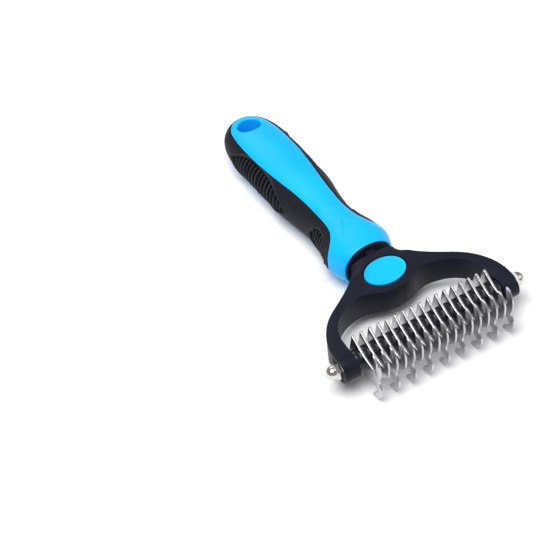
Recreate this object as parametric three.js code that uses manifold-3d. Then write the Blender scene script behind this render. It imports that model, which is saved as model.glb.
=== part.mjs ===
// Two-sided dematting comb. Millimetres, +Z up. Modelled about the axle: X along the axle,
// Y from the comb teeth (front) to the handle's end, Z from the long hooks up to the fine teeth.
import * as THREE from 'three';
import { mergeVertices } from 'three/addons/utils/BufferGeometryUtils.js';
import Module from 'manifold-3d';

const wasm = await Module();
wasm.setup();

// Blades and the stack on the axle
const bladeCount = 17;
const bladeThickness = 1.0;
const bladePitch = 4.26;
const stackClearance = 0.04; // between a blade and the spacer beside it
const endSpacerLength = 2.9;
const spacerDiameter = 10;
const axleSquare = 5;
const threadDiameter = 3.9;
const holeClearance = 0.1; // blade or spacer hole over the square axle, each side

// Yoke: a fork whose two arms carry the axle
const armWidthAtAxle = 7.6;
const armHalfThickness = 6.2;
const forkDrop = 0.7; // the fork's middle plane lies this far below the axle
const hubHalfThickness = 9.2;
const slopeStart = 24;
const shoulderY = 43.6;
const keyDepth = 2; // how far the square axle goes into each arm
const pocketDepth = 2.7;
const pocketClearance = 0.3;
const pocketCornerRadius = 2.4;

// Neck between the yoke and the handle
const slotWidth = 2.2;
const flangeThickness = 2;
const flangeHalfWidth = 11.7;
const flangeHalfHeight = 11.0;
const neckRadius = 6.8;
const ribWidth = 4.4;
const ribInset = 2.5; // the rib across the slots stops this far inside the flange's rim
const tangWidth = 9;
const tangHeight = 10;
const tangLength = 40;
const socketClearance = 0.2;

// Oval insert in the yoke's top face
const badgeHalfWidth = 10.2;
const badgeHalfDepth = 7.1;
const badgeThickness = 1.6;
const badgeProud = 0.15;
const badgeY = 32.5;
const grooveWidth = 0.35;

// Cap nuts and washers, for an M4 thread
const nutAcrossFlats = 7.2;
const nutHexHeight = 4.1;
const nutHeight = 8;
const nutDomeRadius = 3.35;
const nutBoreDepth = 6.2;
const threadClearance = 0.08;
const passClearance = 0.16; // round a threaded end where it passes through the arm or the washer
const threadRelief = 0.6; // room between the axle's tip and the bottom of the nut's bore
const washerDiameter = 8;
const washerThickness = 0.8;
const faceClearance = 0.05;

// Handle
const handleEndY = 168;
const hangHoleRadius = 5.9;
const hangHoleFromEnd = 11.6;
const overmouldGap = 0.3;
const panelDepth = 0.8;
const bellRecess = 1.3;

// Values worked out from the sizes above
const lastBladeX = (bladeCount - 1) / 2 * bladePitch;
const armInnerX = lastBladeX + bladeThickness / 2 + endSpacerLength + 2 * stackClearance;
const armOuterX = armInnerX + armWidthAtAxle;
const pocketFloorX = armOuterX - pocketDepth;
const nutCornerRadius = nutAcrossFlats / Math.sqrt(3);
const pocketHalfWidth = nutCornerRadius + pocketClearance;
const washerX = pocketFloorX + faceClearance;
const nutX = washerX + washerThickness + faceClearance;
const flangeFrontY = shoulderY + slotWidth;
const flangeBackY = flangeFrontY + flangeThickness;
const bellFrontY = flangeBackY - bellRecess;
const slope = Math.atan2(hubHalfThickness - armHalfThickness, shoulderY - slopeStart);
const cutReach = 60; // cutting solids run this far, past every face they cut
const weldOverlap = 1; // joined shapes reach this far into each other

const finishes = {
  bluePlastic: { color: 0x1fb4f5, roughness: 0.42, metalness: 0 },
  blackPlastic: { color: 0x23262e, roughness: 0.5, metalness: 0 },
  blackRubber: { color: 0x202228, roughness: 0.75, metalness: 0 },
  steelBlade: { color: 0xa6a6ac, roughness: 0.28, metalness: 1 },
  nickel: { color: 0xd8d4cc, roughness: 0.12, metalness: 1 },
  darkSteel: { color: 0x6e7076, roughness: 0.4, metalness: 1 },
};

function piece(name, geometry, finish) {
  const mesh = new THREE.Mesh(geometry, new THREE.MeshStandardMaterial(finishes[finish]));
  mesh.name = name;
  return mesh;
}

// Geometry helpers ---------------------------------------------------------

function solid(geometry) {
  const bare = geometry.clone();
  bare.deleteAttribute('normal');
  bare.deleteAttribute('uv');
  const merged = mergeVertices(bare, 1e-4);
  const corners = merged.index.array;
  const kept = [];
  for (let i = 0; i < corners.length; i += 3) {
    const [a, b, c] = [corners[i], corners[i + 1], corners[i + 2]];
    if (a !== b && b !== c && c !== a) kept.push(a, b, c);
  }
  const vertProperties = new Float32Array(merged.attributes.position.array);
  const triVerts = new Uint32Array(kept);
  return new wasm.Manifold(new wasm.Mesh({ numProp: 3, vertProperties, triVerts }));
}

function surface(body) {
  const { vertProperties, triVerts } = body.getMesh();
  const geometry = new THREE.BufferGeometry();
  geometry.setAttribute('position', new THREE.BufferAttribute(new Float32Array(vertProperties), 3));
  geometry.setIndex(new THREE.BufferAttribute(new Uint32Array(triVerts), 1));
  geometry.computeVertexNormals();
  return geometry;
}

// A shape drawn in (x, y), extruded up and down from z = 0
function extrudeZ(shape, height, curveSegments = 8) {
  const geometry = new THREE.ExtrudeGeometry(shape, { depth: height, bevelEnabled: false, curveSegments });
  return geometry.translate(0, 0, -height / 2);
}

// A shape drawn in (y, z), extruded both ways along the axle from x = 0
function extrudeX(shape, width, curveSegments = 8) {
  const axes = [new THREE.Vector3(0, 1, 0), new THREE.Vector3(0, 0, 1), new THREE.Vector3(1, 0, 0)];
  const turn = new THREE.Matrix4().makeBasis(...axes);
  return extrudeZ(shape, width, curveSegments).applyMatrix4(turn);
}

function box(width, depth, height, x, y, z) {
  return new THREE.BoxGeometry(width, depth, height).translate(x, y, z);
}

// A cylinder along X between two x values, centred on the axle
function rodX(radius, x0, x1, segments) {
  const rod = new THREE.CylinderGeometry(radius, radius, x1 - x0, segments);
  return rod.rotateZ(-Math.PI / 2).translate((x0 + x1) / 2, 0, 0);
}

// An oval rod along Y between two y values, centred on the comb's midline
function ovalRodY(halfWidth, halfHeight, y0, y1, segments) {
  const rod = new THREE.CylinderGeometry(1, 1, y1 - y0, segments);
  return rod.scale(halfWidth, 1, halfHeight).translate(0, (y0 + y1) / 2, 0);
}

// A closed outline through corners [a, b, radius], each corner rounded off by its radius
function roundedOutline(corners) {
  const outline = new THREE.Shape();
  const points = corners.map(([a, b]) => new THREE.Vector2(a, b));
  corners.forEach(([, , radius], i) => {
    const corner = points[i];
    const before = points[(i + points.length - 1) % points.length];
    const after = points[(i + 1) % points.length];
    const reach = neighbour => Math.min(radius, 0.48 * corner.distanceTo(neighbour));
    const start = corner.clone().add(before.clone().sub(corner).setLength(reach(before)));
    const end = corner.clone().add(after.clone().sub(corner).setLength(reach(after)));
    if (i === 0) outline.moveTo(start.x, start.y);
    else outline.lineTo(start.x, start.y);
    outline.quadraticCurveTo(corner.x, corner.y, end.x, end.y);
  });
  outline.closePath();
  return outline;
}

function squareHole(side) {
  const half = side / 2;
  const hole = new THREE.Path();
  hole.moveTo(-half, -half).lineTo(-half, half).lineTo(half, half).lineTo(half, -half).closePath();
  return hole;
}

// Points [x, y] on the right of the midline, followed by their mirror images in reverse
function mirrored(points) {
  const onMidline = ([x]) => Math.abs(x) < 1e-6;
  const left = points.filter(point => !onMidline(point)).map(([x, y]) => [-x, y]).reverse();
  return [...points, ...left].map(([x, y]) => new THREE.Vector2(x, y));
}

// Blades ---------------------------------------------------------------------

// Every blade has the fine tooth at the front top and a pointed corner at the back
const backAndFineTooth = [
  [7.2, -10.6, 2.6], [9.0, -4.0, 4.0], [5.5, 10.2, 1.2], [-2.3, 5.3, 4.0], [-13.0, 2.7, 2.4],
  [-10.9, 13.3, 1.1], [-13.2, 12.3, 1.2], [-16.5, 8.2, 2.6], [-16.2, 2.5, 2.4],
];
const shortFoot = [[-15.5, -0.7, 1.0], [-9.9, -5.5, 2.0]];
const longHook = [
  [-14.5, -1.2, 1.8], [-17.5, -5.6, 2.0], [-16.9, -9.4, 2.0], [-13.4, -13.4, 1.8],
  [-9.3, -14.1, 0.9], [-9.9, -12.0, 0.9], [-13.9, -8.6, 1.6], [-12.3, -4.6, 1.6],
];

function bladeGeometry(foot) {
  const outline = roundedOutline([...backAndFineTooth, ...foot]);
  outline.holes.push(squareHole(axleSquare + 2 * holeClearance));
  return extrudeX(outline, bladeThickness, 3);
}

function spacerGeometry(length) {
  const ring = new THREE.Shape().absarc(0, 0, spacerDiameter / 2, 0, 2 * Math.PI);
  ring.holes.push(squareHole(axleSquare + 2 * holeClearance));
  return extrudeX(ring, length, 10);
}

function bladeStack() {
  const stack = new THREE.Group();
  const hooked = bladeGeometry(longHook);
  const short = bladeGeometry(shortFoot);
  const spacer = spacerGeometry(bladePitch - bladeThickness - 2 * stackClearance);
  for (let i = 0; i < bladeCount; i++) {
    const isHooked = i % 2 === 0;
    const number = Math.floor(i / 2) + 1;
    const blade = piece(`${isHooked ? 'hook' : 'short'}_blade_${number}`, isHooked ? hooked : short, 'steelBlade');
    blade.position.x = i * bladePitch - lastBladeX;
    stack.add(blade);
    if (i === bladeCount - 1) continue;
    const ring = piece(`spacer_${i + 1}`, spacer, 'blackPlastic');
    ring.position.x = blade.position.x + bladePitch / 2;
    stack.add(ring);
  }
  for (const [side, name] of [[-1, 'end_spacer_left'], [1, 'end_spacer_right']]) {
    const ring = piece(name, spacerGeometry(endSpacerLength), 'blackPlastic');
    ring.position.x = side * (armInnerX - stackClearance - endSpacerLength / 2);
    stack.add(ring);
  }
  return stack;
}

// A square bar that keys the blades, with a threaded round end for each nut
function axle() {
  const squareEndX = armInnerX + keyDepth - faceClearance;
  const tipX = nutX + nutBoreDepth - threadRelief;
  const bar = solid(box(2 * squareEndX, axleSquare, axleSquare, 0, 0, 0));
  const threads = solid(rodX(threadDiameter / 2, -tipX, tipX, 16));
  return piece('axle', surface(bar.add(threads)), 'darkSteel');
}

// Nuts and washers ---------------------------------------------------------------

function capNut(side, name) {
  const hex = new THREE.Shape();
  for (let i = 0; i < 6; i++) {
    const angle = Math.PI / 2 + i * Math.PI / 3;
    const corner = [nutCornerRadius * Math.cos(angle), nutCornerRadius * Math.sin(angle)];
    if (i === 0) hex.moveTo(...corner);
    else hex.lineTo(...corner);
  }
  hex.closePath();
  const domeStart = nutHeight - nutDomeRadius;
  const profile = new THREE.Path();
  profile.moveTo(0, nutHexHeight / 2).lineTo(nutDomeRadius, nutHexHeight / 2);
  profile.lineTo(nutDomeRadius, domeStart);
  profile.absarc(0, domeStart, nutDomeRadius, 0, Math.PI / 2, false);
  const dome = new THREE.LatheGeometry(profile.getPoints(4), 20).rotateZ(-Math.PI / 2);
  const base = extrudeX(hex, nutHexHeight).translate(nutHexHeight / 2, 0, 0);
  const boreRadius = threadDiameter / 2 + threadClearance;
  const bore = rodX(boreRadius, -1, nutBoreDepth, 16);
  const nut = piece(name, surface(solid(base).add(solid(dome)).subtract(solid(bore))), 'nickel');
  nut.position.x = side * nutX;
  nut.rotation.z = side < 0 ? Math.PI : 0;
  return nut;
}

function washer(side, name) {
  const ring = new THREE.Shape().absarc(0, 0, washerDiameter / 2, 0, 2 * Math.PI);
  const bore = new THREE.Path().absarc(0, 0, threadDiameter / 2 + passClearance, 0, 2 * Math.PI, true);
  ring.holes.push(bore);
  const mesh = piece(name, extrudeX(ring, washerThickness, 8), 'nickel');
  mesh.position.x = side * (washerX + washerThickness / 2);
  return mesh;
}

// Yoke --------------------------------------------------------------------------

// The fork seen from above: the outer edge from the shoulder to an arm's end, and the inner edge
const shoulderHalfWidth = 11.0;
const frontY = -armHalfThickness;
const outerEdge = [
  [shoulderHalfWidth, shoulderY], [12.9, 39.6], [16.8, 35.4], [22.0, 31.5], [27.4, 28.1],
  [32.8, 24.8], [37.0, 21.4], [40.5, 17.0], [43.1, 12.2], [44.6, 7.6],
];
const innerEdge = [
  [37.3, 9.6], [35.4, 15.6], [32.2, 19.9], [27.8, 23.0], [22.5, 25.0], [17.2, 25.8],
  [13.0, 25.0], [9.0, 23.2], [4.6, 21.9], [0, 21.5],
];

// The arms' drawn edges follow the axle's length: they shift outwards with the arm's inner face
const drawnArmInnerX = 37.56;
const armShift = x => (armInnerX - drawnArmInnerX) * Math.min(1, Math.max(0, (x - 10) / 25));
const followArm = ([x, y]) => [x + armShift(x), y];

function forkPlan() {
  const right = [
    ...outerEdge.map(followArm), [armOuterX, 4], [armOuterX, frontY - 1],
    [armInnerX, frontY - 1], [armInnerX, 4], ...innerEdge.map(followArm),
  ];
  const smooth = points => new THREE.SplineCurve(points.map(([x, y]) => new THREE.Vector2(x, y)));
  const outer = smooth(right.slice(0, outerEdge.length + 1)).getPoints(2 * outerEdge.length);
  const inner = smooth(right.slice(outerEdge.length + 3)).getPoints(2 * innerEdge.length);
  const end = right.slice(outerEdge.length + 1, outerEdge.length + 3);
  const half = [...outer.map(p => [p.x, p.y]), ...end, ...inner.map(p => [p.x, p.y])];
  return new THREE.Shape(mirrored(half));
}

// The fork seen from the side: round ends about the axle, then thicker towards the shoulder
function forkSide() {
  const side = new THREE.Shape();
  side.moveTo(shoulderY, -hubHalfThickness).lineTo(shoulderY, hubHalfThickness);
  side.lineTo(slopeStart, armHalfThickness).lineTo(0, armHalfThickness);
  side.absarc(0, 0, armHalfThickness, Math.PI / 2, 3 * Math.PI / 2, false);
  side.lineTo(slopeStart, -armHalfThickness).closePath();
  return side;
}

// The insert's oval prism between two heights off the yoke's top face, which slopes there
function badgeOval(grow, bottom, top) {
  const oval = new THREE.Shape().absellipse(0, 0, badgeHalfWidth + grow, badgeHalfDepth + grow, 0, 2 * Math.PI);
  const prism = extrudeZ(oval, top - bottom, 16).translate(0, 0, (bottom + top) / 2);
  const topZ = armHalfThickness + (badgeY - slopeStart) * Math.tan(slope);
  return prism.rotateX(slope).translate(0, badgeY, topZ - forkDrop);
}

function yoke() {
  const plan = solid(extrudeZ(forkPlan(), 4 * hubHalfThickness));
  const side = extrudeX(forkSide(), 2 * cutReach, 8).translate(0, 0, -forkDrop);
  let body = plan.intersect(solid(side));

  const ribHeight = 2 * (flangeHalfHeight - ribInset);
  const tangY = flangeBackY + (tangLength - weldOverlap) / 2;
  const added = [
    ovalRodY(neckRadius, neckRadius, shoulderY - weldOverlap, flangeBackY, 24),
    ovalRodY(flangeHalfWidth, flangeHalfHeight, flangeFrontY, flangeBackY, 40),
    box(ribWidth, slotWidth + 2 * weldOverlap, ribHeight, 0, shoulderY + slotWidth / 2, 0),
    box(tangWidth, tangLength + weldOverlap, tangHeight, 0, tangY, 0),
  ];
  for (const shape of added) body = body.add(solid(shape));

  const keySide = axleSquare + 2 * holeClearance;
  const keyX = armInnerX + keyDepth;
  const pocket = roundedOutline([[-1, -1], [1, -1], [1, 1], [-1, 1]].map(
    ([a, b]) => [a * pocketHalfWidth, b * pocketHalfWidth, pocketCornerRadius]));
  const removed = [
    box(2 * keyX, keySide, keySide, 0, 0, 0),
    rodX(threadDiameter / 2 + passClearance, -cutReach, cutReach, 20),
    badgeOval(grooveWidth, badgeProud - badgeThickness - faceClearance, badgeThickness),
  ];
  for (const side of [-1, 1]) {
    removed.push(extrudeX(pocket, 2 * pocketDepth, 4).translate(side * armOuterX, 0, 0));
  }
  for (const shape of removed) body = body.subtract(solid(shape));
  return piece('yoke', surface(body), 'blackPlastic');
}

function badge() {
  return piece('badge_insert', badgeOval(0, badgeProud - badgeThickness, badgeProud), 'bluePlastic');
}

// Handle ---------------------------------------------------------------------------

// Cross-sections [y, half width, top, bottom, how far the widest line lies below the axle's plane],
// from the bell at the neck to the rounded end. The bell's are measured out from the flange it wraps.
const bellSection = (y, side, above, below, drop) =>
  [y, flangeHalfWidth + side, flangeHalfHeight + above, flangeHalfHeight + below, drop];
const handleSections = [
  bellSection(0, 0.8, 0.5, 0.2, 0), bellSection(0.6, 1.4, 0.8, 0.5, 0), bellSection(2.4, 2.2, 1.0, 0.8, 0),
  bellSection(5.6, 3.5, 1.1, 1.0, 0), bellSection(10.2, 4.4, 1.2, 1.2, 0.4), bellSection(17.2, 3.2, 0.6, 1.2, 1.0),
  [24.2, 13.1, 10.7, 11.8, 1.8], [33.2, 11.9, 10.1, 11.8, 2.4], [43.2, 12.8, 10.2, 12.0, 2.8],
  [54.2, 14.5, 10.1, 12.1, 2.8], [68.2, 15.7, 10.2, 12.1, 2.8], [79.2, 16.2, 10.2, 12.1, 2.8],
  [93.2, 16.2, 9.5, 11.8, 2.8], [103.2, 15.6, 8.5, 11.1, 2.6], [110.2, 14.4, 7.5, 10.2, 2.4],
  [115.2, 12.5, 6.5, 9.2, 2.0], [118.7, 9.6, 5.4, 8.0, 1.6], [120.8, 6.1, 3.9, 6.2, 1.2],
];
const drawnHandleLength = 121.7;
const sectionCount = 25;
const handleSides = 26;
const squareness = 2.2; // 2 is an ellipse

function handleBody(inset) {
  const stretch = (handleEndY - bellFrontY) / drawnHandleLength;
  const curve = column => new THREE.CatmullRomCurve3(
    handleSections.map(([y, a, ...rest]) => new THREE.Vector3(y, a, rest[column])), false, 'centripetal');
  const [tops, bottoms, drops] = [0, 1, 2].map(column => curve(column).getPoints(sectionCount));
  const profile = [
    new THREE.Vector2(0, bellFrontY),
    ...tops.map(section => new THREE.Vector2(1, bellFrontY + section.x * stretch)),
    new THREE.Vector2(0, handleEndY),
  ];
  const body = new THREE.LatheGeometry(profile, handleSides);
  const position = body.attributes.position;
  const power = value => Math.sign(value) * Math.abs(value) ** (2 / squareness);
  for (let i = 0; i < position.count; i++) {
    const section = Math.min(sectionCount, Math.max(0, i % profile.length - 1));
    const drop = drops[section].z;
    const sin = power(position.getZ(i));
    const reach = sin > 0 ? tops[section].z + drop : bottoms[section].z - drop;
    position.setX(i, power(position.getX(i)) * (tops[section].y - inset));
    position.setZ(i, sin * (reach - inset) - drop);
  }
  return solid(body);
}

// Half width of the blue core seen from above, [y, x]; the soft grip covers what lies outside it
const coreEdge = [
  [-8, 22], [7.6, 22], [8.9, 17.5], [11.2, 14.4], [14.2, 11.4], [18.2, 9.0], [23.2, 7.7], [30.2, 7.1],
  [40.2, 7.2], [52.2, 8.1], [63.2, 9.5], [74.2, 10.7], [85.2, 11.4], [98.2, 11.3], [106.2, 10.6],
  [111.2, 9.7], [115.2, 7.9], [118.6, 4.6], [119.9, 0],
];

function corePlan(grow) {
  const stretch = (handleEndY - bellFrontY) / drawnHandleLength;
  const edge = coreEdge.map(([y, x]) => new THREE.Vector2(x + (x > 0 ? grow : 0), bellFrontY + y * stretch));
  const smooth = new THREE.SplineCurve(edge.slice(2)).getPoints(28);
  const half = [...edge.slice(0, 2), ...smooth].map(p => [p.x, p.y]);
  half[half.length - 1][1] += grow;
  return extrudeZ(new THREE.Shape(mirrored(half)), cutReach);
}

// The lens-shaped panels sunk in each side of the grip: [first y, last y, half height, drop]
const gripPanels = [[52, 102, 7.0, 1.8], [12.5, 33, 6.4, 1.2]];

function panelCut() {
  const stretch = (handleEndY - bellFrontY) / drawnHandleLength;
  let cut = null;
  for (const [first, last, half, drop] of gripPanels) {
    const y0 = bellFrontY + first * stretch;
    const y1 = bellFrontY + last * stretch;
    const lens = new THREE.Shape();
    lens.moveTo(y0, -drop).quadraticCurveTo((y0 + y1) / 2, 2 * half - drop, y1, -drop);
    lens.quadraticCurveTo((y0 + y1) / 2, -2 * half - drop, y0, -drop);
    const prism = solid(extrudeX(lens, 2 * cutReach, 8));
    cut = cut ? cut.add(prism) : prism;
  }
  return cut.subtract(handleBody(panelDepth));
}

function handle() {
  const outside = handleBody(0);
  const holeY = handleEndY - hangHoleFromEnd;
  const socketEnd = flangeBackY + tangLength + socketClearance;
  const socketFrontY = bellFrontY - weldOverlap;
  const removed = [
    rodX(hangHoleRadius, -cutReach, cutReach, 28).rotateY(Math.PI / 2).translate(0, holeY, 0),
    ovalRodY(flangeHalfWidth + socketClearance, flangeHalfHeight + socketClearance,
      socketFrontY, flangeBackY + faceClearance, 40),
    box(tangWidth + 2 * socketClearance, socketEnd - socketFrontY, tangHeight + 2 * socketClearance,
      0, (socketFrontY + socketEnd) / 2, 0),
  ];
  let core = outside.intersect(solid(corePlan(0)));
  for (const shape of removed) core = core.subtract(solid(shape));
  const grip = outside.subtract(solid(corePlan(overmouldGap))).subtract(panelCut());
  const group = new THREE.Group();
  group.add(piece('handle_core', surface(core), 'bluePlastic'));
  group.add(piece('grip_sleeve', surface(grip), 'blackRubber'));
  return group;
}

// Assembly --------------------------------------------------------------------------

const head = new THREE.Group();
head.add(yoke(), badge(), axle(), bladeStack());
for (const [side, name] of [[-1, 'left'], [1, 'right']]) {
  head.add(washer(side, `washer_${name}`), capNut(side, `cap_nut_${name}`));
}

const assembly = new THREE.Group();
assembly.add(head, handle());

// The part's origin is the middle of its overall box
const middle = new THREE.Box3().setFromObject(assembly, true).getCenter(new THREE.Vector3());
assembly.position.copy(middle).negate();

const comb = new THREE.Group();
comb.add(assembly);

export default comb;
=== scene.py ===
from math import atan2, ceil, cos, dist, hypot, pi, radians, sin, sqrt

import bmesh
import bpy
import numpy as np
from mathutils import Matrix, Vector


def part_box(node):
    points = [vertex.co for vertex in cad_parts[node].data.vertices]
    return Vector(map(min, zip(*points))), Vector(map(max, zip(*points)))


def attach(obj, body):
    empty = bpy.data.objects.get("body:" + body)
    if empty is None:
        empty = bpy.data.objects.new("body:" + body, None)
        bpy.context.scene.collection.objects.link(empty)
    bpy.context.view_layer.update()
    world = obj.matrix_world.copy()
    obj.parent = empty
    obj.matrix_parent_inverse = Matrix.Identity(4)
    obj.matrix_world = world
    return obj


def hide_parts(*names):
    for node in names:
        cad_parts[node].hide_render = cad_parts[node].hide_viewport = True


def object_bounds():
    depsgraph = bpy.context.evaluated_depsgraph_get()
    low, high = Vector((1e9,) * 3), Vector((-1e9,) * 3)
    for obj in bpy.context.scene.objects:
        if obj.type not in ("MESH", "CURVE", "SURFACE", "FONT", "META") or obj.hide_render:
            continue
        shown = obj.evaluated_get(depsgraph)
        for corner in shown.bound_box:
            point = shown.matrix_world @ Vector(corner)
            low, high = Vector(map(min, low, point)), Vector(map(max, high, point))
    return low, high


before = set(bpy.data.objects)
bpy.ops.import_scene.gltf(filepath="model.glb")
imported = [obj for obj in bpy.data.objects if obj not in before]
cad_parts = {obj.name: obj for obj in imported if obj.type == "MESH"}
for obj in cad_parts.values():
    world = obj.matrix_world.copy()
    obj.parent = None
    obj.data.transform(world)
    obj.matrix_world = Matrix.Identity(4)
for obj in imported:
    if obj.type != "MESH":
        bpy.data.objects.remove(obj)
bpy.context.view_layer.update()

mm = 0.001

# every piece is modelled in millimetres about the middle of the axle, then set down in the frame
axleLow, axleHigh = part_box("axle")
axleMiddle = (axleLow + axleHigh) / 2
toFrame = Matrix.Translation(axleMiddle) @ Matrix.Scale(mm, 4)


def localBox(node):
    low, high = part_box(node)
    return (low - axleMiddle) / mm, (high - axleMiddle) / mm


# materials; constants stand on the shader, and what varies follows Object coordinates or an attribute

def newMaterial(name, color, roughness, metallic=0.0):
    material = bpy.data.materials.new(name)
    material.use_nodes = True
    shader = material.node_tree.nodes["Principled BSDF"]
    shader.inputs["Base Color"].default_value = (*color, 1)
    shader.inputs["Roughness"].default_value = roughness
    shader.inputs["Metallic"].default_value = metallic
    return material, shader


def noiseOn(material, scale, detail, stretch=(1, 1, 1)):
    nodes, links = material.node_tree.nodes, material.node_tree.links
    place = nodes.new("ShaderNodeTexCoord")
    mapping = nodes.new("ShaderNodeMapping")
    mapping.inputs["Scale"].default_value = stretch
    noise = nodes.new("ShaderNodeTexNoise")
    noise.inputs["Scale"].default_value = scale
    noise.inputs["Detail"].default_value = detail
    links.new(place.outputs["Object"], mapping.inputs["Vector"])
    links.new(mapping.outputs["Vector"], noise.inputs["Vector"])
    return noise.outputs["Fac"]


def varyRoughness(material, shader, fac, low, high):
    spread = material.node_tree.nodes.new("ShaderNodeMapRange")
    spread.inputs["To Min"].default_value = low
    spread.inputs["To Max"].default_value = high
    material.node_tree.links.new(fac, spread.inputs["Value"])
    material.node_tree.links.new(spread.outputs["Result"], shader.inputs["Roughness"])


def varyColor(material, shader, fac, dark, light):
    ramp = material.node_tree.nodes.new("ShaderNodeValToRGB")
    ramp.color_ramp.elements[0].position = 0.3
    ramp.color_ramp.elements[0].color = (*dark, 1)
    ramp.color_ramp.elements[1].position = 0.7
    ramp.color_ramp.elements[1].color = (*light, 1)
    material.node_tree.links.new(fac, ramp.inputs["Fac"])
    material.node_tree.links.new(ramp.outputs["Color"], shader.inputs["Base Color"])


def addBump(material, shader, fac, strength, depth):
    bump = material.node_tree.nodes.new("ShaderNodeBump")
    bump.inputs["Strength"].default_value = strength
    bump.inputs["Distance"].default_value = depth * mm
    material.node_tree.links.new(fac, bump.inputs["Height"])
    material.node_tree.links.new(bump.outputs["Normal"], shader.inputs["Normal"])


def blueFinish():
    material, shader = newMaterial("bluePlastic", (0.01, 0.5, 1.0), 0.36)
    varyColor(material, shader, noiseOn(material, 60, 2), (0.002, 0.44, 0.97), (0.004, 0.49, 1.0))
    shader.inputs["Specular IOR Level"].default_value = 0.25
    varyRoughness(material, shader, noiseOn(material, 220, 4), 0.3, 0.42)
    addBump(material, shader, noiseOn(material, 2600, 3), 0.12, 0.03)
    return material


def blackFinish():
    material, shader = newMaterial("blackPlastic", (0.008, 0.009, 0.013), 0.45)
    varyColor(material, shader, noiseOn(material, 90, 3), (0.008, 0.009, 0.017), (0.013, 0.014, 0.025))
    shader.inputs["Specular IOR Level"].default_value = 0.13
    varyRoughness(material, shader, noiseOn(material, 300, 4), 0.34, 0.48)
    addBump(material, shader, noiseOn(material, 3600, 2), 0.3, 0.04)
    return material


def rubberFinish():
    material, shader = newMaterial("blackRubber", (0.008, 0.009, 0.012), 0.62)
    # painted highlight on the ribs' crests and the panels' lip, and painted shade in the grooves between the
    # ribs and on the sunk panel floor
    nodes, links = material.node_tree.nodes, material.node_tree.links
    paintedShading = nodes.new("ShaderNodeAttribute")
    paintedShading.attribute_name = "paintedShading"
    ramp = nodes.new("ShaderNodeValToRGB")
    # dark end is painted shade in the grooves, light end is painted highlight on the crests, the middle is
    # the rubber's own colour
    ramp.color_ramp.elements[0].color = (0.0012, 0.0013, 0.002, 1)
    ramp.color_ramp.elements[1].color = (0.055, 0.057, 0.07, 1)
    plain = ramp.color_ramp.elements.new(0.5)
    plain.color = (0.008, 0.009, 0.015, 1)
    links.new(paintedShading.outputs["Fac"], ramp.inputs["Fac"])
    links.new(ramp.outputs["Color"], shader.inputs["Base Color"])
    # the specular level follows the same painted shade and highlight level
    sheen = nodes.new("ShaderNodeMath")
    sheen.operation = "MULTIPLY"
    sheen.inputs[1].default_value = 0.36
    links.new(paintedShading.outputs["Fac"], sheen.inputs[0])
    shader.inputs["Specular IOR Level"].default_value = 0.3  # where the link below is dropped
    links.new(sheen.outputs["Value"], shader.inputs["Specular IOR Level"])
    varyRoughness(material, shader, noiseOn(material, 400, 4), 0.5, 0.66)
    addBump(material, shader, noiseOn(material, 4800, 2), 0.35, 0.05)
    return material


def spacerFinish():
    material, shader = newMaterial("spacerPlastic", (0.003, 0.004, 0.01), 0.2)
    shader.inputs["Coat Weight"].default_value = 0.2
    shader.inputs["Coat Roughness"].default_value = 0.12
    varyRoughness(material, shader, noiseOn(material, 500, 3), 0.16, 0.3)
    return material


def bladeFinish():
    material, shader = newMaterial("bladeSteel", (0.5, 0.5, 0.52), 0.28, 1.0)
    brushed = noiseOn(material, 900, 5, (1, 1, 0.06))
    varyColor(material, shader, brushed, (0.46, 0.46, 0.48), (0.62, 0.62, 0.64))
    varyRoughness(material, shader, noiseOn(material, 700, 4, (1, 1, 0.08)), 0.2, 0.38)
    addBump(material, shader, noiseOn(material, 1500, 4, (1, 1, 0.05)), 0.08, 0.02)
    return material


def nickelFinish():
    material, shader = newMaterial("nickel", (0.66, 0.64, 0.62), 0.1, 1.0)
    varyRoughness(material, shader, noiseOn(material, 450, 3), 0.06, 0.16)
    return material


def axleFinish():
    material, shader = newMaterial("axleSteel", (0.5, 0.5, 0.52), 0.32, 1.0)
    varyRoughness(material, shader, noiseOn(material, 600, 4, (0.1, 1, 1)), 0.24, 0.42)
    return material


finishes = {
    "blue_plastic": blueFinish(),
    "black_plastic": blackFinish(),
    "black_rubber": rubberFinish(),
    "spacer_plastic": spacerFinish(),
    "blade_steel": bladeFinish(),
    "nickel": nickelFinish(),
    "axle_steel": axleFinish(),
}
print("materials made")


# shared modelling steps

def toObject(name, bm, smoothAngle=32):
    bmesh.ops.recalc_face_normals(bm, faces=bm.faces)
    mesh = bpy.data.meshes.new(name)
    bm.to_mesh(mesh)
    bm.free()
    for polygon in mesh.polygons:
        polygon.use_smooth = True
    mesh.set_sharp_from_angle(angle=radians(smoothAngle))
    piece = bpy.data.objects.new(name, mesh)
    bpy.context.scene.collection.objects.link(piece)
    return piece


def keepModified(piece):
    bpy.context.view_layer.update()
    solved = piece.evaluated_get(bpy.context.evaluated_depsgraph_get())
    mesh = bpy.data.meshes.new_from_object(solved)
    piece.modifiers.clear()
    piece.data = mesh


def extent(piece):
    places = np.array([v.co for v in piece.data.vertices]).reshape(-1, 3)
    return np.ptp(places, axis=0) if len(places) else np.zeros(3)


def combine(piece, tool, operation="DIFFERENCE"):
    # the exact solver drops a piece now and then, so a result that has shrunk is made again
    original, before = piece.data, extent(piece)
    for attempt in range(12):
        modifier = piece.modifiers.new(operation, "BOOLEAN")
        modifier.operation = operation
        modifier.solver = "EXACT"
        modifier.object = tool
        keepModified(piece)
        if min(extent(piece) - before) > -0.5:
            bpy.data.objects.remove(tool)
            return
        print(f"{operation} with {tool.name} lost part of {piece.name}, made again")
        piece.data = original
    raise RuntimeError(f"{operation} with {tool.name} lost part of {piece.name}")


def meshToEdit(piece):
    bm = bmesh.new()
    bm.from_mesh(piece.data)
    return bm


def onlyVerts(geom):
    return [v for v in geom if isinstance(v, bmesh.types.BMVert)]


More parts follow.
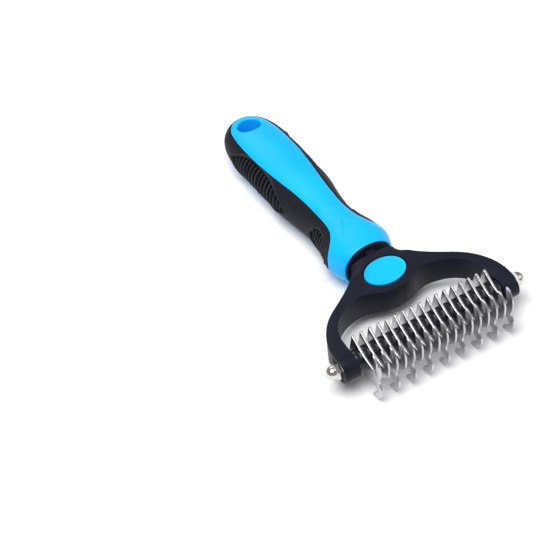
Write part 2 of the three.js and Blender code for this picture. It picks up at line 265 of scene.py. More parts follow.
def placeInFrame(piece, body, slot, nodes, smoothAngle=32):
    piece.data.transform(toFrame)
    for polygon in piece.data.polygons:
        polygon.use_smooth = True
    piece.data.set_sharp_from_angle(angle=radians(smoothAngle))
    piece.data.materials.clear()
    piece.data.materials.append(finishes[slot])
    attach(piece, body)
    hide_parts(*nodes)
    return piece


def smoothRows(rows, spacing):
    # a smooth line through rows of numbers; spacing is the step in the first two numbers
    line = []
    for i in range(len(rows) - 1):
        before, start, end, after = (rows[min(max(i + k, 0), len(rows) - 1)] for k in (-1, 0, 1, 2))
        steps = max(1, ceil(dist(start[:2], end[:2]) / spacing))
        for k in range(steps):
            t = k / steps
            line.append([
                0.5 * (2 * b + (c - a) * t + (2 * a - 5 * b + 4 * c - d) * t * t
                       + (3 * b - a - 3 * c + d) * t ** 3)
                for a, b, c, d in zip(before, start, end, after)])
    line.append(list(rows[-1]))
    return line


def roundCorners(corners, steps):
    # each corner is [a, b, radius], and becomes a short curve of that many steps
    line = []
    for i, (a, b, radius) in enumerate(corners):
        corner = Vector((a, b))
        before, after = Vector(corners[i - 1][:2]), Vector(corners[(i + 1) % len(corners)][:2])
        start = corner.lerp(before, min(radius / (before - corner).length, 0.48))
        end = corner.lerp(after, min(radius / (after - corner).length, 0.48))
        for k in range(steps + 1):
            t = k / steps
            line.append(start * (1 - t) ** 2 + corner * 2 * t * (1 - t) + end * t * t)
    return line


def sharpEdges(bm, angle):
    return [e for e in bm.edges if len(e.link_faces) == 2 and e.calc_face_angle(0) > radians(angle)]


def roundEdges(bm, edges, offset, segments):
    bmesh.ops.bevel(bm, geom=edges, offset=offset, offset_type="OFFSET", segments=segments, profile=0.5,
                    affect="EDGES", clamp_overlap=True, material=-1)


def block(name, low, high):
    bm = bmesh.new()
    bmesh.ops.create_cube(bm, size=1)
    low, high = Vector(low), Vector(high)
    bmesh.ops.scale(bm, vec=high - low, verts=bm.verts)
    bmesh.ops.translate(bm, vec=(low + high) / 2, verts=bm.verts)
    return toObject(name, bm)


def turned(name, profile, axis, steps, rounding=0.0):
    # profile is a list of [radius, distance along the axis], from the axis back to the axis or closed
    bm = bmesh.new()
    side = Vector((0, 0, 1)) if axis.z == 0 else Vector((1, 0, 0))
    verts = [bm.verts.new(side * r + axis * along) for r, along in profile]
    edges = [bm.edges.new(pair) for pair in zip(verts, verts[1:])]
    if profile[0][0] > 0:
        edges.append(bm.edges.new((verts[-1], verts[0])))
    bmesh.ops.spin(bm, geom=verts + edges, cent=(0, 0, 0), axis=axis, angle=2 * pi, steps=steps,
                   use_merge=True)
    bmesh.ops.remove_doubles(bm, verts=bm.verts, dist=1e-4)
    bmesh.ops.recalc_face_normals(bm, faces=bm.faces)
    if rounding:
        roundEdges(bm, sharpEdges(bm, 50), rounding, 3)
    return toObject(name, bm)


# the yoke and its badge

yokeShape = {
    "outerEdge": [[11.0, 43.6], [12.9, 39.6], [16.8, 35.4], [22.0, 31.5], [27.4, 28.1], [32.8, 24.8],
                  [37.0, 21.4], [40.5, 17.0], [43.1, 12.2], [44.6, 7.6]],
    "innerEdge": [[37.3, 9.6], [35.4, 15.6], [32.2, 19.9], [27.8, 23.0], [22.5, 25.0], [17.2, 25.8],
                  [13.0, 25.0], [9.0, 23.2], [4.6, 21.9], [0, 21.5]],
    "armHalf": 6.2,  # half the arms' thickness, and the radius of their round ends
    "hubHalf": 9.2,
    "drop": 0.7,  # how far the yoke's middle plane lies under the axle
    "slopeStart": 24.0,
    "slopeSoftness": 2.5,  # how gently the flat arm turns into the slope
    "shoulder": 43.6,
    "crown": 2.0,  # how far the hub's sides fall away at the shoulder
    "crownStart": 36.5,
    "edgeRadius": 2.1,
    "shoulderRadius": 0.6,
    "outlineStep": 1.6,
    "sliceStep": 1.45,
    "pocketHalf": 4.46,
    "pocketDepth": 2.7,
    "pocketCorner": 0.55,  # of the pocket's half width
    "pocketFlare": 0.4,
    "keySquare": 5.2,
    "bore": 2.11,
    "neckRadius": 6.8,
    "flangeWidth": 11.7,
    "flangeHeight": 11.0,
    "flangeFront": 45.8,
    "flangeBack": 47.8,
    "flangeRounding": 0.35,
    "ribHalf": 2.2,
    "spacerClearance": 0.04,
}
armInner = localBox("end_spacer_right")[1].x + yokeShape["spacerClearance"]
armOuter = localBox("yoke")[1].x
tanSlope = (yokeShape["hubHalf"] - yokeShape["armHalf"]) / (yokeShape["shoulder"] - yokeShape["slopeStart"])


def forkHalfThickness(y):
    shape = yokeShape
    if y < 0:
        return sqrt(max(0, shape["armHalf"] ** 2 - y * y))
    past = y - shape["slopeStart"]
    return shape["armHalf"] + tanSlope * (past + sqrt(past * past + shape["slopeSoftness"] ** 2)) / 2


def forkTop(x, y):
    shape = yokeShape
    back = min(max((y - shape["crownStart"]) / (shape["shoulder"] - shape["crownStart"]), 0), 1)
    fall = shape["crown"] * back * back * (3 - 2 * back) * (x / shape["outerEdge"][0][0]) ** 4
    return forkHalfThickness(y) - fall


def sliceAt(bm, place, normal):
    geom = [*bm.verts, *bm.edges, *bm.faces]
    bmesh.ops.bisect_plane(bm, geom=geom, dist=1e-4, plane_co=place, plane_no=normal)


def forkBody():
    # a flat outline is cut into rows, then lifted to the thickness that the fork has there
    shape = yokeShape
    front = -shape["armHalf"]
    straightEnd = 3.5  # the arms' sides are straight up to here
    outer = smoothRows(shape["outerEdge"] + [[armOuter, straightEnd]], shape["outlineStep"])
    inner = smoothRows(shape["innerEdge"], shape["outlineStep"])
    half = outer + [[armOuter, front], [armInner, front], [armInner, straightEnd]] + inner
    outline = half + [[-x, y] for x, y in reversed(half[:-1])]
    bm = bmesh.new()
    face = bm.faces.new([bm.verts.new((x, y, -1)) for x, y in outline])
    raised = bmesh.ops.extrude_face_region(bm, geom=[face])["geom"]
    bmesh.ops.translate(bm, vec=(0, 0, 2), verts=onlyVerts(raised))
    for y in np.arange(0, shape["shoulder"], shape["sliceStep"]):
        sliceAt(bm, (0, y, 0), (0, 1, 0))
    for x in np.arange(-10, 10.1, 2):
        sliceAt(bm, (x, 0, 0), (1, 0, 0))
    bmesh.ops.remove_doubles(bm, verts=bm.verts, dist=0.3)
    for angle in range(15, 90, 15):  # rows round the arms' ends
        sliceAt(bm, (0, front * sin(radians(angle)), 0), (0, 1, 0))
    for v in bm.verts:
        v.co.z = (1 if v.co.z > 0 else -1) * forkTop(v.co.x, v.co.y)
    bmesh.ops.remove_doubles(bm, verts=bm.verts, dist=1e-3)
    bmesh.ops.recalc_face_normals(bm, faces=bm.faces)
    flatWalls = [e for e in bm.edges if len(e.link_faces) == 2 and e.calc_face_angle(0) < radians(0.5)
                 and all(abs(f.normal.x) > 0.999 for f in e.link_faces)]
    bmesh.ops.dissolve_edges(bm, edges=flatWalls, use_verts=False)
    rims = [e for e in sharpEdges(bm, 40) if any(abs(f.normal.z) < 0.2 for f in e.link_faces)
            and abs(e.verts[0].co.z - e.verts[1].co.z) < 3]
    shoulderStart = shape["shoulder"] - 0.01
    rims = [e for e in rims if any(v.co.y <= shoulderStart for v in e.verts)]
    roundEdges(bm, rims, shape["edgeRadius"], 5)
    back = [e for e in sharpEdges(bm, 40) if all(v.co.y > shoulderStart for v in e.verts)]
    roundEdges(bm, back, shape["shoulderRadius"], 3)
    bmesh.ops.translate(bm, vec=(0, 0, -shape["drop"]), verts=bm.verts)
    return toObject("yokeMoulding", bm)


def pocketTool(side):
    shape = yokeShape
    half, mouth = shape["pocketHalf"], shape["pocketHalf"] + shape["pocketFlare"]
    bm = bmesh.new()
    square = ((-1, -1), (1, -1), (1, 1), (-1, 1))
    corners = roundCorners([[a, b, shape["pocketCorner"]] for a, b in square], 6)
    floor, lip, out = armOuter - shape["pocketDepth"], armOuter - 0.35, armOuter + 4
    face = bm.faces.new([bm.verts.new((side * floor, a * half, b * half)) for a, b in corners])
    for x, size in ((lip, half), (armOuter + 0.1, mouth), (out, mouth)):
        face = bmesh.ops.extrude_face_region(bm, geom=[face])["geom"]
        face = [f for f in face if isinstance(f, bmesh.types.BMFace)][0]
        for v in face.verts:
            v.co.x = side * x
        grow = size / max(abs(v.co.y) for v in face.verts)
        bmesh.ops.scale(bm, vec=(1, grow, grow), verts=face.verts)
    return toObject("pocketTool", bm)


def neckTool():
    shape = yokeShape
    front, back = shape["flangeFront"], shape["flangeBack"]
    radius, width, root = shape["neckRadius"], shape["flangeWidth"], shape["shoulder"] - 3
    profile = [[0, root], [radius, root], [radius, front], [width, front], [width, back], [0, back]]
    neck = turned("neckTool", profile, Vector((0, 1, 0)), 96, shape["flangeRounding"])
    bm = meshToEdit(neck)
    squeeze = shape["flangeHeight"] / shape["flangeWidth"]
    bmesh.ops.scale(bm, vec=(1, 1, squeeze), verts=[v for v in bm.verts if v.co.y > front - 0.5])
    bm.to_mesh(neck.data)
    bm.free()
    return neck


badgeShape = {
    "halfWidth": 10.2,
    "halfDepth": 7.1,
    "y": 32.5,
    "thickness": 1.6,
    "proud": 0.15,
    "groove": 0.65,
    "rimWidth": 0.55,
    "edgeRadius": 0.3,
}


def badgeOval(grow, bottom, top):
    shape = badgeShape
    bm = bmesh.new()
    bmesh.ops.create_circle(bm, cap_ends=True, segments=96, radius=1)
    bmesh.ops.scale(bm, vec=(shape["halfWidth"] + grow, shape["halfDepth"] + grow, 1), verts=bm.verts)
    raised = bmesh.ops.extrude_face_region(bm, geom=list(bm.faces))["geom"]
    bmesh.ops.translate(bm, vec=(0, 0, bottom), verts=bm.verts)
    bmesh.ops.translate(bm, vec=(0, 0, top - bottom), verts=onlyVerts(raised))
    bmesh.ops.recalc_face_normals(bm, faces=bm.faces)
    return bm


def tiltToHub(bm):
    shape = badgeShape
    slope = Matrix.Rotation(atan2(tanSlope, 1), 4, "X")
    top = forkHalfThickness(shape["y"]) - yokeShape["drop"]
    bm.transform(Matrix.Translation((0, shape["y"], top)) @ slope)
    return bm


def makeYoke():
    shape = yokeShape
    yoke = forkBody()
    combine(yoke, neckTool(), "UNION")
    ribTop = shape["hubHalf"] - shape["drop"] - 0.05  # just under the shoulder
    rib = block("ribTool", (-shape["ribHalf"], shape["shoulder"] - 1, -ribTop),
                (shape["ribHalf"], shape["flangeFront"] + 0.6, ribTop))
    combine(yoke, rib, "UNION")
    for side in (-1, 1):
        combine(yoke, pocketTool(side))
    radius, past = shape["bore"], armOuter + 10
    profile = [[0, -past], [radius, -past], [radius, past], [0, past]]
    combine(yoke, turned("boreTool", profile, Vector((1, 0, 0)), 32))
    key, reach = shape["keySquare"] / 2, armInner + 2
    combine(yoke, block("keyTool", (-reach, -key, -key), (reach, key, key)))
    floor = badgeShape["proud"] - badgeShape["thickness"] - 0.05
    combine(yoke, toObject("recessTool", tiltToHub(badgeOval(badgeShape["groove"], floor, 3))))
    return placeInFrame(yoke, "comb", "black_plastic", ["yoke"], 38)


def makeBadge():
    shape = badgeShape
    bm = badgeOval(0, shape["proud"] - shape["thickness"], shape["proud"])
    top = [f for f in bm.faces if f.normal.z > 0.9]
    bmesh.ops.inset_region(bm, faces=top, thickness=shape["rimWidth"], depth=0)
    bmesh.ops.inset_region(bm, faces=top, thickness=0.2, depth=-0.14)
    bmesh.ops.inset_region(bm, faces=top, thickness=1.2, depth=0.02)
    rim = [e for e in sharpEdges(bm, 60) if all(v.co.z > 0 for v in e.verts)]
    roundEdges(bm, rim, shape["edgeRadius"], 4)
    badge = toObject("badgeInsert", tiltToHub(bm))
    return placeInFrame(badge, "comb", "blue_plastic", ["badge_insert"], 50)


makeYoke()
makeBadge()
print("yoke and badge made")


# blades, spacers and the axle

bladeShape = {
    "thickness": 1.0,
    "hole": 5.2,
    "edgeRadius": 0.14,
    # corners of the outlines, as [distance behind the axle, height, radius]
    "backAndFineTooth": [
        [7.2, -10.6, 2.6], [9.0, -4.0, 4.0], [5.5, 10.2, 1.2], [-2.3, 5.3, 4.0], [-13.0, 2.7, 2.4],
        [-10.9, 13.3, 1.1], [-13.2, 12.3, 1.2], [-16.5, 8.2, 2.6], [-16.2, 2.5, 2.4]],
    "shortFoot": [[-15.5, -0.7, 1.0], [-9.9, -5.5, 2.0]],
    "longHook": [
        [-14.5, -1.2, 1.8], [-17.5, -5.6, 2.0], [-16.9, -9.4, 2.0], [-13.4, -13.4, 1.8],
        [-9.3, -14.1, 0.9], [-9.9, -12.0, 0.9], [-13.9, -8.6, 1.6], [-12.3, -4.6, 1.6]],
}


def bladePlate(foot, node):
    shape = bladeShape
    low, high = localBox(node)
    half = shape["thickness"] / 2
    bm = bmesh.new()
    outline = roundCorners(shape["backAndFineTooth"] + shape[foot], 7)
    outline = [(min(max(a, low.y), high.y), min(max(b, low.z), high.z)) for a, b in outline]
    face = bm.faces.new([bm.verts.new((-half, a, b)) for a, b in outline])
    raised = bmesh.ops.extrude_face_region(bm, geom=[face])["geom"]
    bmesh.ops.translate(bm, vec=(2 * half, 0, 0), verts=onlyVerts(raised))
    bmesh.ops.remove_doubles(bm, verts=bm.verts, dist=0.02)
    bmesh.ops.recalc_face_normals(bm, faces=bm.faces)
    rims = [e for e in bm.edges if abs(e.verts[0].co.x - e.verts[1].co.x) < 1e-5]
    roundEdges(bm, rims, shape["edgeRadius"], 2)
    plate = toObject(foot, bm)
    key = shape["hole"] / 2
    combine(plate, block("holeTool", (-1, -key, -key), (1, key, key)))
    return plate


def spacerRing(length):
    hole, radius = bladeShape["hole"] / 2, localBox("spacer_1")[1].z
    half = length / 2
    profile = [[0, -half], [radius, -half], [radius, half], [0, half]]
    ring = turned("spacerRing", profile, Vector((1, 0, 0)), 64, 0.22)
    combine(ring, block("holeTool", (-length, -hole, -hole), (length, hole, hole)))
    return ring


def copyTo(original, name, node, body, slot):
    low, high = localBox(node)
    piece = bpy.data.objects.new(name, original.data.copy())
    bpy.context.scene.collection.objects.link(piece)
    piece.data.transform(Matrix.Translation(((low.x + high.x) / 2, 0, 0)))
    return placeInFrame(piece, body, slot, [node])


def makeStack():
    plates = {
        "hook": bladePlate("longHook", "hook_blade_1"),
        "short": bladePlate("shortFoot", "short_blade_1"),
    }
    low, high = localBox("spacer_1")
    ring = spacerRing(high.x - low.x)
    low, high = localBox("end_spacer_left")
    endRing = spacerRing(high.x - low.x)
    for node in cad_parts:
        kind = node.split("_")[0]
        if "_blade_" in node:
            copyTo(plates[kind], f"{kind}Blade{node.split('_')[-1]}", node, "comb", "blade_steel")
        elif node.startswith("spacer_"):
            copyTo(ring, f"spacer{node.split('_')[-1]}", node, "comb", "spacer_plastic")
        elif node.startswith("end_spacer_"):
            copyTo(endRing, f"endSpacer{node.split('_')[-1].title()}", node, "comb", "spacer_plastic")
    for original in (*plates.values(), ring, endRing):
        bpy.data.objects.remove(original)


axleShape = {"square": 5.0, "thread": 1.95, "threadDepth": 0.3, "pitch": 0.7, "threadStart": 41.5}


def makeAxle():
    shape = axleShape
    tip = localBox("axle")[1].x
    root = shape["thread"] - shape["threadDepth"]
    half = [[shape["thread"], 0], [shape["thread"], shape["threadStart"]]]
    x = shape["threadStart"]
    while x + shape["pitch"] < tip - 0.4:
        half += [[root, x + shape["pitch"] / 2], [shape["thread"], x + shape["pitch"]]]
        x += shape["pitch"]
    half += [[root, tip - 0.02], [0, tip]]
    profile = [[r, -along] for r, along in reversed(half[1:])] + half[1:]
    axle = turned("axleBar", profile, Vector((1, 0, 0)), 40)
    bar, key = armInner + 1.9, shape["square"] / 2
    combine(axle, block("barTool", (-bar, -key, -key), (bar, key, key)), "UNION")
    return placeInFrame(axle, "comb", "axle_steel", ["axle"])


makeStack()
makeAxle()
print("blades, spacers and axle made")


# cap nuts and washers

nutShape = {
    "acrossFlats": 7.2,
    "hexHeight": 4.1,
    "height": 8.0,
    "domeRadius": 3.35,
    "bore": 2.03,
    "boreDepth": 6.2,
    "chamfer": 0.55,
}


def nutProfile():
    shape = nutShape
    corner = shape["acrossFlats"] / sqrt(3)
    chamfer, hexTop, dome = shape["chamfer"], shape["hexHeight"], shape["domeRadius"]
    bore, boreDepth = shape["bore"], shape["boreDepth"]
    profile = [[0, boreDepth], [bore, boreDepth - 0.9], [bore, 0.45], [bore + 0.4, 0.02]]
    steps, depth = 5, chamfer * 0.6
    profile += [[corner - chamfer * (1 - k / steps), depth * k / steps] for k in range(steps + 1)]
    profile += [[corner - chamfer * k / steps, hexTop - depth * (1 - k / steps)] for k in range(steps + 1)]
    profile += [[dome + 0.02, hexTop + 0.04], [dome - 0.1, hexTop + 0.16], [dome, hexTop + 0.3]]
    start = shape["height"] - dome
    arc = 16
    profile += [[dome * cos(k / arc * pi / 2), start + dome * sin(k / arc * pi / 2)] for k in range(arc + 1)]
    profile[-1][0] = 0
    return profile


def makeNut(side, name, node, body):
    shape = nutShape
    nut = turned(name, nutProfile(), Vector((1, 0, 0)), 96)
    bm = meshToEdit(nut)
    flat, sixth = shape["acrossFlats"] / 2, pi / 3
    for v in bm.verts:
        reach = hypot(v.co.y, v.co.z)
        if v.co.x > shape["hexHeight"] + 0.01 or reach < shape["domeRadius"]:
            continue
        angle = (atan2(v.co.z, v.co.y) - pi / 2) % sixth - sixth / 2
        limit = flat / cos(angle)
        if reach > limit:
            v.co.y *= limit / reach
            v.co.z *= limit / reach
    low, high = localBox(node)
    seat = low.x if side > 0 else high.x
    bm.transform(Matrix.Translation((seat, 0, 0)) @ Matrix.Rotation(0 if side > 0 else pi, 4, "Z"))
    bm.to_mesh(nut.data)
    bm.free()
    return placeInFrame(nut, body, "nickel", [node], 25)


washerShape = {"hole": 2.15, "edgeRadius": 0.12}


def makeWasher(name, node, body):
    low, high = localBox(node)
    half, radius, hole = (high.x - low.x) / 2, high.z, washerShape["hole"]
    ring = [[hole, -half], [radius, -half], [radius, half], [hole, half]]
    washer = turned(name, ring, Vector((1, 0, 0)), 64, washerShape["edgeRadius"])
    washer.data.transform(Matrix.Translation(((low.x + high.x) / 2, 0, 0)))
    return placeInFrame(washer, body, "nickel", [node])


for side, hand in ((-1, "left"), (1, "right")):
    makeNut(side, f"capNut{hand.title()}", f"cap_nut_{hand}", f"{hand}_nut")
    makeWasher(f"washer{hand.title()}", f"washer_{hand}", f"{hand}_washer")
print("nuts and washers made")


# the handle: a blue core with soft black sides

handleShape = {
    # [distance from the bell's front, half width, top, bottom, drop of the widest line]
    "sections": [
        [0, 12.45, 11.65, 11.55, 0], [0.6, 13.1, 11.9, 11.8, 0], [2.4, 13.9, 12.1, 12.0, 0],
        [5.6, 15.2, 12.15, 12.05, 0], [10.2, 16.1, 12.2, 12.2, 0.4], [17.2, 14.9, 11.6, 12.2, 1.0],
        [24.2, 13.1, 10.7, 11.8, 1.8], [33.2, 11.9, 10.1, 11.8, 2.4], [43.2, 12.8, 10.2, 12.0, 2.8],
        [54.2, 14.5, 10.1, 12.1, 2.8], [68.2, 15.7, 10.2, 12.1, 2.8], [79.2, 16.2, 10.2, 12.1, 2.8],
        [93.2, 16.2, 9.5, 11.8, 2.8], [103.2, 15.6, 8.5, 11.1, 2.6], [110.2, 14.4, 7.5, 10.2, 2.4],
        [115.2, 12.5, 6.5, 9.2, 2.0], [118.7, 9.6, 5.4, 8.0, 1.6], [120.8, 6.1, 3.9, 6.2, 1.2],
        [121.45, 3.4, 2.1, 4.0, 1.0], [121.7, 0, -1.0, 1.0, 1.0]],
    # the open mouth that takes the yoke's flange, from its floor out to its lip
    "mouth": [
        [3.6, 0, 0, 0, 0], [3.6, 6.0, 5.6, 5.6, 0], [3.6, 11.6, 10.9, 10.9, 0], [3.3, 11.95, 11.2, 11.2, 0],
        [0.3, 11.95, 11.25, 11.25, 0], [0.08, 12.0, 11.3, 11.3, 0], [0, 12.15, 11.4, 11.4, 0]],
    # where the core closes inside the grip's rounded end
    "coreTip": [[118.9, 6.0, 3.0, 5.2, 1.4], [118.8, 3.0, 1.0, 3.2, 1.2], [118.8, 0, -1.2, 1.2, 1.2]],
    # half width of the blue core seen from above
    "coreEdge": [
        [8.9, 17.5], [11.2, 14.4], [14.2, 11.4], [18.2, 9.0], [23.2, 7.7], [30.2, 7.1], [40.2, 7.2],
        [52.2, 8.1], [63.2, 9.5], [74.2, 10.7], [85.2, 11.4], [98.2, 11.3], [106.2, 10.6], [111.2, 9.7],
        [115.2, 7.9], [118.6, 4.6], [119.9, 0]],
    "drawnLength": 121.7,
    "squareness": 2.2,
    "edgeRadius": 0.32,
    "seam": 0.1,
    "gripThickness": 1.9,
    "gripSeat": 3.1,
    "roundedEnd": 9.0,
    "holeFromEnd": 11.6,
    "holeRadius": 5.9,
    "holeRound": 1.0,
    # [first, last, half height, middle height, pitch of the ribs]
    "panels": [[51.5, 102.5, 7.8, -0.9, 2.75], [12.5, 33.0, 6.8, -0.6, 2.6]],
    "panelDepth": 1.25,
    "panelWall": 0.55,
    "lipHeight": 0.35,
    "lipWidth": 0.75,
    "gripStart": 6.0,
    "dishCentre": 13.5,  # of the shallow three-sided dish on top of the bell
    "dishDepth": 0.3,
    "dishReach": 4.2,
    "dishWall": 0.9,
}
bellFront = localBox("handle_core")[0].y
handleEnd = localBox("grip_sleeve")[1].y
stretch = (handleEnd - bellFront) / handleShape["drawnLength"]
coreLine = np.array(smoothRows(handleShape["coreEdge"], 0.4))


def coreHalfWidth(y):
    if y < coreLine[0][0]:
        return 22.0  # the bell is blue all round
    return float(np.interp(y, coreLine[:, 0], coreLine[:, 1], right=0.0))


def spreadColumns(start, end, count, roundStart, roundEnd):
    # columns across one patch, with close ones along a rounded edge
    near = np.array([0.06, 0.16, 0.34]) * min(1, 0.25 * (end - start) / 0.34)
    head = [start, *(start + near)] if roundStart else [start]
    tail = [*(end - near[::-1]), end] if roundEnd else [end]
    middle = np.linspace(head[-1], tail[0], count + 3 - len(head) - len(tail))
    return [*head[:-1], *middle, *tail[1:]]


def sectionPoints(row, blueColumns, gripColumns, seam):
    # points and outward directions down the right side of one section, from top to bottom
    y, halfWidth, top, bottom, drop = row
    shape = handleShape
    samples, widest = 361, 180
    angle = np.linspace(pi / 2, -pi / 2, samples)
    power = 2 / shape["squareness"]
    x = halfWidth * np.clip(np.cos(angle), 0, 1) ** power
    lift = np.abs(np.sin(angle)) ** power
    z = np.where(angle > 0, (top + drop) * lift - drop, -(bottom - drop) * lift - drop)
    along = np.concatenate([[0], np.cumsum(np.hypot(np.diff(x), np.diff(z)))])
    total, middle = along[-1], along[widest]
    edge = coreHalfWidth(y) + seam
    rounding = 0.0
    if y > shape["coreEdge"][-1][0]:
        upper, lower = 0.02 * total, 0.98 * total
    elif edge < halfWidth:
        upper = float(np.interp(edge, x[:widest + 1], along[:widest + 1]))
        lower = float(np.interp(edge, x[widest:][::-1], along[widest:][::-1]))
        rounding = min(1.0, (halfWidth - edge) / 0.6)
    else:
        upper, lower = middle - 0.01 * total, middle + 0.01 * total
    columns = spreadColumns(0, upper, blueColumns, False, True)
    columns += spreadColumns(upper, lower, gripColumns, True, True)[1:]
    columns += spreadColumns(lower, total, blueColumns, True, False)[1:]
    columns = np.array(columns)
    radius = shape["edgeRadius"]
    fromEdge = np.minimum(np.abs(columns - upper), np.abs(columns - lower))
    inside = np.clip(radius - fromEdge, 0, radius)
    sunk = rounding * (radius - np.sqrt(radius ** 2 - inside ** 2))
    if total < 1e-6:
        return np.zeros_like(columns), np.full_like(columns, z[0]), sunk * 0, sunk * 0, sunk * 0
    rising = along + np.arange(samples) * 1e-9
    slopeX, slopeZ = np.gradient(x, rising), np.gradient(z, rising)
    length = np.hypot(slopeX, slopeZ)
    outX = np.interp(columns, along, -slopeZ / length)
    outZ = np.interp(columns, along, slopeX / length)
    outX[0] = outX[-1] = 0  # so that the two sides meet on the middle plane
    return np.interp(columns, along, x), np.interp(columns, along, z), outX, outZ, sunk


def handleSkin(rows, blueColumns, gripColumns, seam, relief):
    # a grid is wrapped round the sections; its faces know if the grip covers them
    half = 2 * blueColumns + gripColumns
    count = 2 * half
    underGrip = np.zeros(half + 1)
    underGrip[blueColumns + 1:blueColumns + gripColumns] = 1
    bm = bmesh.new()
    bmesh.ops.create_grid(bm, x_segments=len(rows) - 1, y_segments=count, size=1)
    covered = bm.faces.layers.int.new("covered")
    # each point carries a painted shade and highlight level that the rubber's material reads
    paintedShading = bm.verts.layers.float.new("paintedShading")
    sections = []
    for row in rows:
        x, z, outX, outZ, sunk = sectionPoints(row, blueColumns, gripColumns, seam)
        push, shadeAndHighlight = relief(row, x, z, underGrip)
        sections.append((x + outX * (push - sunk), z + outZ * (push - sunk), shadeAndHighlight))
    coreEnd = handleShape["coreEdge"][-1][0]
    soft = [row[0] > coreEnd - 0.01
            or (coreHalfWidth(row[0]) + seam < row[1] and row[0] > handleShape["gripStart"]) for row in rows]
    steps = len(rows) - 1
    for f in bm.faces:
        middle = f.calc_center_median()
        i, j = int((middle.x + 1) / 2 * steps), int((middle.y + 1) / 2 * count)
        column = j if j < half else count - 1 - j
        onGrip = blueColumns <= column < blueColumns + gripColumns or rows[i][0] > coreEnd - 0.01
        f[covered] = 1 if onGrip and soft[i] and soft[i + 1] else 0
    for v in bm.verts:
        i, j = round((v.co.x + 1) / 2 * steps), round((v.co.y + 1) / 2 * count)
        column, side = (j, 1) if j <= half else (count - j, -1)
        x, z, shadeAndHighlight = sections[i]
        v.co = (side * x[column], bellFront + rows[i][0] * stretch, z[column])
        v[paintedShading] = shadeAndHighlight[column]
    bmesh.ops.remove_doubles(bm, verts=bm.verts, dist=1e-4)
    bmesh.ops.recalc_face_normals(bm, faces=bm.faces)
    return bm


def softStep(t):
    return t * t * (3 - 2 * t)


def coreRelief(row, x, z, underGrip):
    # a shallow three-sided dish on top of the bell, and the seat that the grip covers
    shape = handleShape
    y, halfWidth = row[:2]
    seat = shape["gripSeat"] * np.clip((halfWidth - coreHalfWidth(y)) / 0.2, 0, 1)
    across, along = np.abs(x), y - shape["dishCentre"]
    edge = np.maximum(-along, 0.87 * across + 0.5 * along) - shape["dishReach"]
    inside = np.clip(0.5 - edge / shape["dishWall"], 0, 1)
    dish = np.where(z > 0, shape["dishDepth"] * softStep(inside), 0)
    return -dish - seat * underGrip, np.zeros_like(x)


def panelRelief(row, x, z, underGrip):
    # sunk panels with a raised lip and cross ribs; the second result is painted light: painted highlight on
    # the lip and ribs, painted shade on the sunk floor
    shape = handleShape
    y, push, shadeAndHighlight = row[0], np.zeros_like(x), np.full_like(x, 0.5)
    for first, last, half, height, pitch in shape["panels"]:
        along = (2 * y - first - last) / (last - first)
        if abs(along) > 1.08:
            continue
        sharpness = 3.2 if along > 0 else 2.2
        reach = half * (1 - abs(along) ** sharpness)
        inward = reach - np.abs(z - height)
        lip = np.clip(1 - np.abs(inward + 0.35) / shape["lipWidth"], 0, 1)
        floor = np.clip(inward / shape["panelWall"], 0, 1)
        ridge = 0.5 + 0.5 * cos(2 * pi * (y - first) / pitch)
        rib = ridge ** 2.5 * np.clip((inward - 0.25) / 0.7, 0, 1)
        push += shape["lipHeight"] * softStep(lip) - shape["panelDepth"] * softStep(floor) + rib
        # painted highlight on the lip and ribs, painted shade on the sunk panel floor
        shadeAndHighlight += 0.32 * lip ** 3 + 0.75 * rib - 0.45 * floor
    return push, shadeAndHighlight


def roundHoleRims(bm, holeY):
    # the hole is first cut at its outer rim, then its wall is rebuilt inwards from the two rim loops
    shape = handleShape
    rim = shape["holeRadius"] + shape["holeRound"]

    def fromAxis(v):
        return hypot(v.co.x, v.co.y - holeY)

    upright = [f for f in bm.faces if abs(f.normal.z) < 0.6]
    wall = [f for f in upright if all(abs(fromAxis(v) - rim) < 0.03 for v in f.verts)]
    bmesh.ops.delete(bm, geom=wall, context="FACES")
    loops = [e for e in bm.edges if e.is_boundary]
    steps = 6
    for up in (1, -1):
        ring = [e for e in loops if (e.verts[0].co.z > -1) == (up > 0)]
        previousDrop = 0.0
        for k in range(1, steps + 1):
            turn = k / steps * pi / 2
            radius = rim - shape["holeRound"] * sin(turn)
            drop = shape["holeRound"] * (1 - cos(turn))
            made = bmesh.ops.extrude_edge_only(bm, edges=ring)["geom"]
            ring = [e for e in made if isinstance(e, bmesh.types.BMEdge) and e.is_boundary]
            for v in {v for e in ring for v in e.verts}:
                away = fromAxis(v)
                v.co.x *= radius / away
                v.co.y = holeY + (v.co.y - holeY) * radius / away
                v.co.z -= up * (drop - previousDrop)
            previousDrop = drop
    bmesh.ops.bridge_loops(bm, edges=[e for e in bm.edges if e.is_boundary])
    bmesh.ops.recalc_face_normals(bm, faces=bm.faces)


def makeCore():
    shape = handleShape
    last = shape["coreEdge"][-1][0]
    skin = [row for row in smoothRows(shape["sections"], 0.8) if row[0] < last]
    rows = shape["mouth"] + skin + shape["coreTip"]
    core = toObject("handleCore", handleSkin(rows, 18, 10, 0, coreRelief))
    holeY = handleEnd - shape["holeFromEnd"]
    rim = shape["holeRadius"] + shape["holeRound"]
    past = 30
    tool = turned("holeTool", [[0, -past], [rim, -past], [rim, past], [0, past]], Vector((0, 0, 1)), 72)
    tool.data.transform(Matrix.Translation((0, holeY, 0)))
    combine(core, tool)
    bm = meshToEdit(core)
    roundHoleRims(bm, holeY)
    bm.to_mesh(core.data)
    bm.free()
    return placeInFrame(core, "comb", "blue_plastic", ["handle_core"], 40)


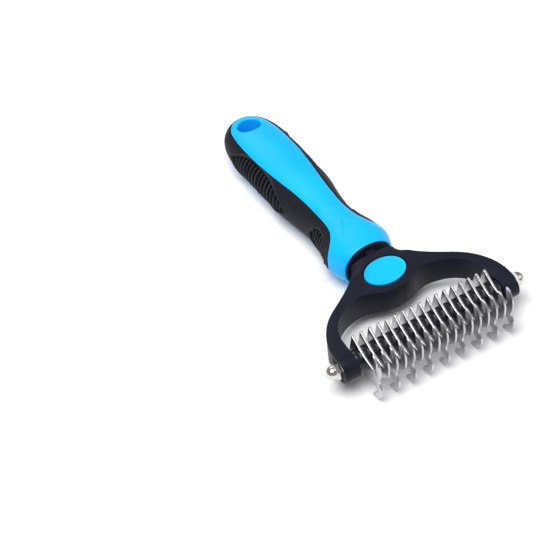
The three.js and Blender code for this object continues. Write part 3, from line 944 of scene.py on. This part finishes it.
def makeGrip():
    shape = handleShape
    rows = smoothRows([row for row in shape["sections"] if row[0] > 5], 0.36)
    bm = handleSkin(rows, 6, 44, shape["seam"], panelRelief)
    covered = bm.faces.layers.int["covered"]
    bmesh.ops.delete(bm, geom=[f for f in bm.faces if not f[covered]], context="FACES")
    # the grip's inner wall stands off towards a spine inside the handle
    inner = bmesh.ops.extrude_face_region(bm, geom=list(bm.faces), use_keep_orig=True)["geom"]
    for v in onlyVerts(inner):
        spine = Vector((0, min(v.co.y, handleEnd - shape["roundedEnd"]), -1))
        v.co += (spine - v.co).normalized() * shape["gripThickness"]
    grip = toObject("gripSleeve", bm)
    return placeInFrame(grip, "comb", "black_rubber", ["grip_sleeve"], 60)


makeCore()
makeGrip()
print("handle made")


# floor, light and camera

stageSetup = {
    "floorSize": 6.0,
    "floorGap": 0.0002,  # under the comb's lowest point
    "floorColor": (0.93, 0.93, 0.94),
    "skyColor": (1.0, 1.0, 1.0),
    "skyStrength": 0.3,
}
cameraSetup = {
    "place": (-238.757, -369.447, 484.243),  # from the middle of the axle
    "forward": (0.2910534, 0.6442110, -0.7073049),
    "up": (0.4136523, 0.5818965, 0.7002059),
    "lens": 101.03,
    "sensor": 36.0,
}
lamps = {
    # where it stands and its size in metres, and its power in watts
    "keyLight": {"place": (-0.35, -0.2, 1.2), "size": 1.0, "power": 17.5},
    "fillLight": {"place": (0.9, -0.6, 0.8), "size": 1.0, "power": 2.5},
    "backLight": {"place": (0.1, 1.1, 0.9), "size": 0.8, "power": 2.5},
}


def makeFloor():
    setup = stageSetup
    bm = bmesh.new()
    bmesh.ops.create_grid(bm, x_segments=1, y_segments=1, size=setup["floorSize"] / 2)
    bmesh.ops.translate(bm, vec=(0, 0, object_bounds()[0].z - setup["floorGap"]), verts=bm.verts)
    mesh = bpy.data.meshes.new("floor")
    bm.to_mesh(mesh)
    bm.free()
    floor = bpy.data.objects.new("floor", mesh)
    bpy.context.scene.collection.objects.link(floor)
    material, shader = newMaterial("floorPaper", setup["floorColor"], 0.85)
    floor.data.materials.append(material)


def makeSky():
    world = bpy.data.worlds.new("studio")
    bpy.context.scene.world = world
    world.use_nodes = True
    sky = world.node_tree.nodes["Background"]
    sky.inputs["Color"].default_value = (*stageSetup["skyColor"], 1)
    sky.inputs["Strength"].default_value = stageSetup["skyStrength"]


def makeLamps():
    for name, lamp in lamps.items():
        light = bpy.data.lights.new(name, "AREA")
        light.shape = "DISK"
        light.size = lamp["size"]
        light.energy = lamp["power"]
        holder = bpy.data.objects.new(name, light)
        holder.location = lamp["place"]
        holder.rotation_euler = (-Vector(lamp["place"])).to_track_quat("-Z", "Y").to_euler()
        bpy.context.scene.collection.objects.link(holder)


def makeCamera():
    setup = cameraSetup
    camera = bpy.data.cameras.new("camera")
    camera.lens = setup["lens"]
    camera.sensor_width = setup["sensor"]
    holder = bpy.data.objects.new("camera", camera)
    forward, up = Vector(setup["forward"]), Vector(setup["up"])
    right = forward.cross(up)
    turn = Matrix((right, up, -forward)).transposed().to_4x4()
    holder.matrix_world = Matrix.Translation(axleMiddle + Vector(setup["place"]) * mm) @ turn
    bpy.context.scene.collection.objects.link(holder)
    bpy.context.scene.camera = holder


makeFloor()
makeSky()
makeLamps()
makeCamera()
bpy.context.scene.view_settings.view_transform = "Standard"
print("stage made")
